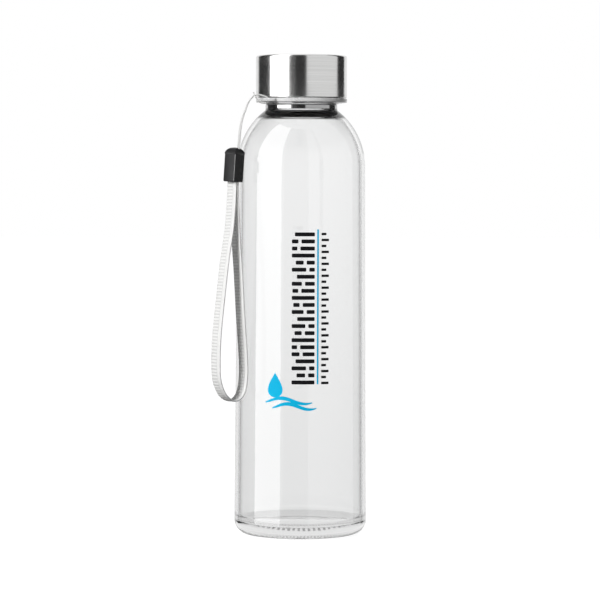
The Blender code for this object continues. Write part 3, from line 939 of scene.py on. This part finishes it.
class BOTTLE_OT_glass(bpy.types.Operator):
    """Make the blown glass body with its neck, thread and lip"""
    bl_idname = "bottle.glass"
    bl_label = "Glass"

    def execute(self, context):
        sizes = context.scene.bottle_sizes
        colour = context.scene.bottle_colours.glass
        bm = turned(outer_profile() + inner_profile(sizes.wall), False, sizes.around)
        raise_thread(bm, FINISH, GLASS_TIP, THREAD_START)
        stipple(bm, sizes.around)
        mesh = mesh_from("clear_bottle", bm, 50)
        glass = link("clear_bottle", mesh, glass_finish(colour), "bottle")
        finish_foot_and_neck(mesh, colour, sizes.around)
        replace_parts(glass, "glass_bottle")
        return {"FINISHED"}


class BOTTLE_OT_cap(bpy.types.Operator):
    """Make the brushed steel cap with its rolled hem"""
    bl_idname = "bottle.cap"
    bl_label = "Cap"

    def execute(self, context):
        top, bottom = CAP_HIGH.z, CAP_LOW.z
        edge, sheet, roll = 0.0010, 0.0005, 0.0002
        hem = 0.0206 + roll
        shell = [(0.0, top - sheet)]
        shell += arc(CAP_RADIUS - edge, top - edge, edge - sheet, 90, 0, 5)
        shell += [(CAP_RADIUS - sheet, bottom + 0.0010)]
        shell += arc(hem, bottom + 3 * roll, roll, 90, 180, 3)
        shell += arc(hem, bottom + roll, roll, 180, 270, 3)
        shell += arc(CAP_RADIUS - 0.0003, bottom + 0.0003, 0.0003, -90, 0, 4)
        shell += arc(CAP_RADIUS - edge, top - edge, edge, 0, 90, 8)
        shell += [(0.0, top)]
        mesh = mesh_from("steel_cap", turned(shell, False, context.scene.bottle_sizes.around), 50)
        steel = steel_finish(context.scene.bottle_colours.steel)
        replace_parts(link("steel_cap", mesh, steel, "cap"), "cap_shell")
        return {"FINISHED"}


class BOTTLE_OT_liner(bpy.types.Operator):
    """Make the moulded liner with the thread that screws onto the glass"""
    bl_idname = "bottle.liner"
    bl_label = "Liner"

    def execute(self, context):
        outer = LINER_HIGH.x
        low, high = LINER_LOW.z, LINER_HIGH.z
        ceiling = SEAL_HIGH.z + GAP
        liner = [(0.0, ceiling), (LINER_WALL - 0.0006, ceiling), (LINER_WALL, ceiling - 0.0004)]
        liner += rows(LINER_WALL, low + 0.0006, SEAL_HIGH.z - 0.0008)[::-1]
        liner += [(LINER_WALL + 0.0004, low), (outer - 0.0003, low), (outer, low + 0.0003)]
        liner += [(outer, high - 0.0006), (outer - 0.0006, high), (0.0, high)]
        bm = turned(liner, False, context.scene.bottle_sizes.around)
        raise_thread(bm, LINER_WALL, LINER_TIP, THREAD_START + LEAD / 2)
        plastic = moulded_finish("white_liner", (0.84, 0.84, 0.82), 0.42, Subsurface_Weight=0.1)
        liner = link("threaded_liner", mesh_from("threaded_liner", bm, 40), plastic, "cap")
        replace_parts(liner, "cap_insert")
        return {"FINISHED"}


class BOTTLE_OT_seal(bpy.types.Operator):
    """Make the soft washer between the liner and the lip of the glass"""
    bl_idname = "bottle.seal"
    bl_label = "Seal"

    def execute(self, context):
        inner, outer, soft = 0.0140, SEAL_HIGH.x, 0.0004
        low, high = SEAL_LOW.z, SEAL_HIGH.z
        washer = arc(outer - soft, low + soft, soft, -90, 0, 4)
        washer += arc(outer - soft, high - soft, soft, 0, 90, 4)
        washer += arc(inner + soft, high - soft, soft, 90, 180, 4)
        washer += arc(inner + soft, low + soft, soft, 180, 270, 4)
        mesh = mesh_from("silicone_seal", turned(washer, True, context.scene.bottle_sizes.around), 40)
        rubber = moulded_finish("silicone", (0.78, 0.78, 0.76), 0.55, Subsurface_Weight=0.2)
        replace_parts(link("silicone_seal", mesh, rubber, "seal"), "cap_seal")
        return {"FINISHED"}


class BOTTLE_OT_collar(bpy.types.Operator):
    """Make the clear ring on the neck, with the eyelet that holds the strap"""
    bl_idname = "bottle.collar"
    bl_label = "Neck ring"

    def execute(self, context):
        edge = 0.00035
        low, high = RING_LOW.z, RING_HIGH.z
        profile = [(RING_BORE, low + 0.0002), (RING_BORE + 0.0002, low)]
        profile += arc(RING_HUB - 0.0002, low + 0.0002, 0.0002, -90, 0, 3)
        profile += arc(CAP_RADIUS - edge, FLANGE_BOTTOM + edge, edge, -90, 0, 5)
        profile += arc(CAP_RADIUS - edge, high - edge, edge, 0, 90, 5)
        profile += [(RING_BORE + 0.0002, high), (RING_BORE, high - 0.0002)]
        ring = mesh_from("neck_ring", turned(profile, True, context.scene.bottle_sizes.around))
        bar, tab_length, tab_root = 0.0011, 0.0046, 0.0056
        thick = high - FLANGE_BOTTOM
        middle = (high + FLANGE_BOTTOM) / 2
        depth = tab_root + bar / 2
        tab = block((depth, tab_length, thick - 0.0002),
                    (EYELET_BAR.x - bar / 2 + depth / 2, EYELET_BAR.y, middle))
        bevel(tab, tab.edges[:], 0.00045, 4)
        ring = carve(ring, mesh_from("tab", tab), "UNION")
        slot = block((0.0027, 0.0028, 3 * thick),
                     (EYELET_BAR.x + bar / 2 + 0.00135, EYELET_BAR.y, middle))
        ring = carve(ring, mesh_from("slot", slot), "DIFFERENCE")
        ring.name = "neck_ring"
        finish = moulded_finish("clear_plastic", (0.96, 0.96, 0.96), 0.30, grain=300.0,
                                Transmission_Weight=0.35, IOR=1.46)
        collar = link("neck_ring", ring, finish, "ring")
        # Painted shadow: the hub under the flange takes the black glass finish, as the shadow beneath the
        # ring.
        ring.materials.append(painted_shade_glass_finish("ring_hub_painted_shadow"))
        for face in ring.polygons:
            if face.center.z < FLANGE_BOTTOM and abs(face.center.xy.length - RING_HUB) < 0.0003:
                face.material_index = 1
        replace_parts(collar, "strap_ring")
        return {"FINISHED"}


class BOTTLE_OT_clasp(bpy.types.Operator):
    """Make the black bead that covers the joint of cord and webbing"""
    bl_idname = "bottle.clasp"
    bl_label = "Clasp"

    def execute(self, context):
        bm = block(CLASP_SIZE, (0, 0, CLASP_SIZE.z / 2))
        crown = [e for e in bm.edges if all(v.co.z > CLASP_SIZE.z / 2 for v in e.verts)]
        bevel(bm, crown, 0.0032, 10)
        foot = [e for e in bm.edges if all(v.co.z < 1e-6 for v in e.verts)]
        sides = [e for e in bm.edges if abs(e.verts[0].co.z - e.verts[1].co.z) > CLASP_SIZE.z / 2]
        bevel(bm, foot + sides, 0.0006, 5)
        bmesh.ops.recalc_face_normals(bm, faces=bm.faces)
        mesh = mesh_from("bead", bm, 30)
        mesh = carve(mesh, mesh_from("pocket", block((0.0064, 0.0041, 0.0230), (0, 0, 0))), "DIFFERENCE")
        hole = block((0.0022, 0.0014, CLASP_SIZE.z),
                     CORD_HOLE + Vector((0, 0, 0.0105 + CLASP_SIZE.z / 2)))
        mesh = carve(mesh, mesh_from("hole", hole), "DIFFERENCE")
        mesh.name = "clasp_bead"
        mesh.transform(clasp_frame())
        finish = moulded_finish("black_plastic", context.scene.bottle_colours.clasp, 0.42, grain=1400.0,
                                Specular_IOR_Level=0.25)
        bead = link("clasp_bead", mesh, finish, "strap")
        # Painted highlight: the bevel faces at the front corner take a lighter grey in place of the light
        # they catch.
        mesh.materials.append(moulded_finish("painted_highlight_edge", (0.50, 0.50, 0.50), 0.40, grain=1400.0))
        for face in mesh.polygons:
            if face.normal.y < FRONT_CORNER and abs(face.normal.z) < 0.5:
                face.material_index = 1
        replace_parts(bead, "clasp_sleeve")
        return {"FINISHED"}


class BOTTLE_OT_crimp(bpy.types.Operator):
    """Finish the folded metal crimp that holds the webbing's ends in the bead"""
    bl_idname = "bottle.crimp"
    bl_label = "Crimp"

    def execute(self, context):
        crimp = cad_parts["clasp_crimp"]
        crimp.data.materials.clear()
        crimp.data.materials.append(steel_finish((0.62, 0.62, 0.60)))
        return {"FINISHED"}


def wrap(bm, lift):
    """Lay flat shapes, drawn in X and Z, round the front of the glass at a small lift."""
    for vert in bm.verts:
        radius = glass_radius(vert.co.z) + lift - vert.co.y
        angle = vert.co.x / glass_radius(vert.co.z)
        vert.co.x = radius * math.sin(angle)
        vert.co.y = -radius * math.cos(angle)


def inked(bm, ink):
    """Give flat faces in the XZ plane the ink's thickness, with cuts that let them bend."""
    low = min(v.co.x for v in bm.verts)
    high = max(v.co.x for v in bm.verts)
    cut = 0.0010
    place = low + cut
    while place < high:
        bmesh.ops.bisect_plane(bm, geom=bm.verts[:] + bm.edges[:] + bm.faces[:],
                               plane_co=(place, 0, 0), plane_no=(1, 0, 0))
        place += cut
    made = bmesh.ops.extrude_face_region(bm, geom=bm.faces[:])["geom"]
    bmesh.ops.translate(bm, vec=(0, -ink, 0),
                        verts=[v for v in made if isinstance(v, bmesh.types.BMVert)])
    bmesh.ops.recalc_face_normals(bm, faces=bm.faces)


def plate(bm, left, right, low, high, corner=0.0004):
    """A flat rounded rectangle in the XZ plane."""
    verts = [bm.verts.new((x, 0, z)) for x, z in ((left, low), (right, low), (right, high), (left, high))]
    bm.faces.new(verts)
    bevel(bm, verts, corner, 3, "VERTICES")


def outline(bm, points):
    bm.faces.new([bm.verts.new((x, 0, z)) for x, z in points])


PRINT_LOW, PRINT_HIGH = 0.0729, 0.1448
BLOCK_LEFT, BLOCK_RIGHT = -0.0042, 0.0065
PRINT_LIFT = 0.00002
BARS = 22
TICKS = 26


def bar_pattern(bm):
    """A column of level bars whose lengths rise and fall in waves, every third whole and the others with a
    gap in them.
    """
    pitch = (PRINT_HIGH - PRINT_LOW) / BARS
    for number in range(BARS):
        low = PRINT_LOW + pitch * number
        high = low + pitch * 0.56
        wave = 0.5 + 0.5 * math.sin(number * 0.9)
        left = BLOCK_LEFT + 0.0026 * wave * (number % 2)
        gap = BLOCK_LEFT + (BLOCK_RIGHT - BLOCK_LEFT) * (0.30 + 0.40 * wave)
        if number % 3 == 0:
            plate(bm, left, BLOCK_RIGHT, low, high)
        else:
            plate(bm, left, gap - 0.0007, low, high)
            plate(bm, gap + 0.0007, BLOCK_RIGHT, low, high)


def tick_pattern(bm):
    pitch = (PRINT_HIGH - PRINT_LOW) / TICKS
    for number in range(TICKS):
        low = PRINT_LOW + pitch * number
        right = 0.0134 if number % 2 == 0 else 0.0121
        plate(bm, 0.0097, right, low, low + pitch * 0.42, corner=0.00025)


def drop_and_waves(bm):
    drop = []
    for step in range(40):
        angle = math.tau * step / 40
        drop.append((-0.0121 + 0.0052 * math.sin(angle) * math.sin(angle / 2) ** 1.4,
                     0.0725 + 0.0058 * math.cos(angle)))
    outline(bm, drop)
    for number in range(2):
        upper, lower = [], []
        for step in range(29):
            part = step / 28
            x = -0.0170 + 0.0035 * number + (0.0225 - 0.0015 * number) * part
            middle = 0.0651 - 0.0026 * number + 0.0013 * math.sin(math.tau * (part - 0.1))
            half = 0.0009 * math.sin(math.pi * min(1.0, 0.05 + part * 0.92)) ** 0.6
            upper.append((x, middle + half))
            lower.append((x, middle - half))
        outline(bm, upper + lower[::-1])


def lay_ink(piece, bm, name, colour, ink):
    """Make flat shapes into one printed piece on the glass, in one colour of ink."""
    inked(bm, ink)
    wrap(bm, PRINT_LIFT)
    finish = moulded_finish(name, colour, 0.6, grain=600.0, depth=0.00001, Specular_IOR_Level=0.12)
    link(piece, mesh_from(piece, bm, 40), finish, "bottle")


class BOTTLE_OT_print(bpy.types.Operator):
    """Make the generic printed pattern: blocks, ticks, a thin line, a drop and waves"""
    bl_idname = "bottle.print"
    bl_label = "Print"

    def execute(self, context):
        ink = context.scene.bottle_sizes.ink
        colours = context.scene.bottle_colours
        dark = bmesh.new()
        bar_pattern(dark)
        tick_pattern(dark)
        lay_ink("block_print", dark, "dark_ink", colours.print_dark, ink)
        bright = bmesh.new()
        plate(bright, 0.0076, 0.0084, PRINT_LOW, PRINT_HIGH, corner=0.0001)
        drop_and_waves(bright)
        lay_ink("drop_print", bright, "bright_ink", colours.print_bright, ink)
        return {"FINISHED"}


# ---- panel and run ----

OPERATORS = (
    BOTTLE_OT_stage, BOTTLE_OT_cord, BOTTLE_OT_webbing, BOTTLE_OT_clasp, BOTTLE_OT_crimp,
    BOTTLE_OT_glass, BOTTLE_OT_cap, BOTTLE_OT_liner, BOTTLE_OT_seal, BOTTLE_OT_collar,
    BOTTLE_OT_print,
)


SETTINGS = {
    "bottle_sizes": BottleSizes,
    "bottle_colours": BottleColours,
    "bottle_stage": BottleStage,
}


class BOTTLE_PT_panel(bpy.types.Panel):
    bl_label = "Glass water bottle"
    bl_idname = "BOTTLE_PT_panel"
    bl_space_type = "VIEW_3D"
    bl_region_type = "UI"
    bl_category = "Bottle"

    def draw(self, context):
        for operator in OPERATORS:
            self.layout.operator(operator.bl_idname)
        for group in SETTINGS:
            settings = getattr(context.scene, group)
            box = self.layout.box()
            for name in settings.bl_rna.properties.keys():
                if name not in {"rna_type", "name"}:
                    box.prop(settings, name)


CLASSES = (*SETTINGS.values(), *OPERATORS, BOTTLE_PT_panel)


def register():
    for cls in CLASSES:
        bpy.utils.register_class(cls)
    for name, group in SETTINGS.items():
        setattr(bpy.types.Scene, name, PointerProperty(type=group))


def unregister():
    for name in SETTINGS:
        delattr(bpy.types.Scene, name)
    for cls in reversed(CLASSES):
        bpy.utils.unregister_class(cls)


def main():
    register()
    for operator in OPERATORS:
        group, name = operator.bl_idname.split(".")
        getattr(getattr(bpy.ops, group), name)()


if __name__ == "__main__":
    main()
